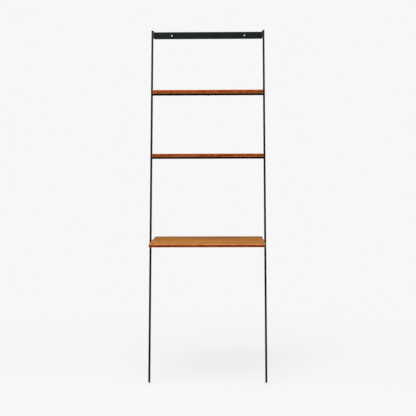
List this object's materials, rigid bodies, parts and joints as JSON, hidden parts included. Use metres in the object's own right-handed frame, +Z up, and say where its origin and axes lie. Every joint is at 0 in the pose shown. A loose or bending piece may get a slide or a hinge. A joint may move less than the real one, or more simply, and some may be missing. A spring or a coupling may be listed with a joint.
{
  "type": "ladder desk",
  "caption": "Leaning ladder desk: slim black steel poles and a top wall rail carry a deep timber desk board with narrower timber shelves above it.",
  "frame": {"origin": "on the floor at mid width, midway between the wall face and the desk's front edge", "axes": "+X to the right seen from the front, +Y towards the wall, +Z up"},
  "size_m": [0.61, 0.48, 1.841],
  "materials": {
    "powder_coat": "satin black powder coat on steel",
    "timber": "oiled reddish-brown edge-glued hardwood",
    "black_screw": "black oxide steel screws",
    "brass_insert": "turned brass",
    "zinc_stud": "zinc-plated steel",
    "nylon": "moulded black nylon"
  },
  "bodies": {
    "ladder_frame": {"left_pole": "powder_coat", "right_pole": "powder_coat", "wall_rail": "powder_coat", "rail_screws": "black_screw", "desk_board": "timber", "desk_crossbar": "powder_coat", "desk_left_arm": "powder_coat", "desk_right_arm": "powder_coat", "desk_rear_strap": "powder_coat", "desk_frame_screws": "black_screw", "desk_board_screws": "black_screw", "desk_board_inserts": "brass_insert", "lower_shelf_board": "timber", "lower_shelf_crossbar": "powder_coat", "lower_shelf_left_arm": "powder_coat", "lower_shelf_right_arm": "powder_coat", "lower_shelf_rear_strap": "powder_coat", "lower_shelf_frame_screws": "black_screw", "lower_shelf_board_screws": "black_screw", "lower_shelf_board_inserts": "brass_insert", "upper_shelf_board": "timber", "upper_shelf_crossbar": "powder_coat", "upper_shelf_left_arm": "powder_coat", "upper_shelf_right_arm": "powder_coat", "upper_shelf_rear_strap": "powder_coat", "upper_shelf_frame_screws": "black_screw", "upper_shelf_board_screws": "black_screw", "upper_shelf_board_inserts": "brass_insert"},
    "left_foot": {"left_glide_pad": "nylon", "left_glide_stud": "zinc_stud"},
    "right_foot": {"right_glide_pad": "nylon", "right_glide_stud": "zinc_stud"}
  },
  "joints": [
    {"name": "left_glide_screw", "type": "slide", "parent": "ladder_frame", "child": "left_foot", "axis": [0, 0, -1], "range_m": [0, 0.01]},
    {"name": "right_glide_screw", "type": "slide", "parent": "ladder_frame", "child": "right_foot", "axis": [0, 0, -1], "range_m": [0, 0.01]}
  ]
}
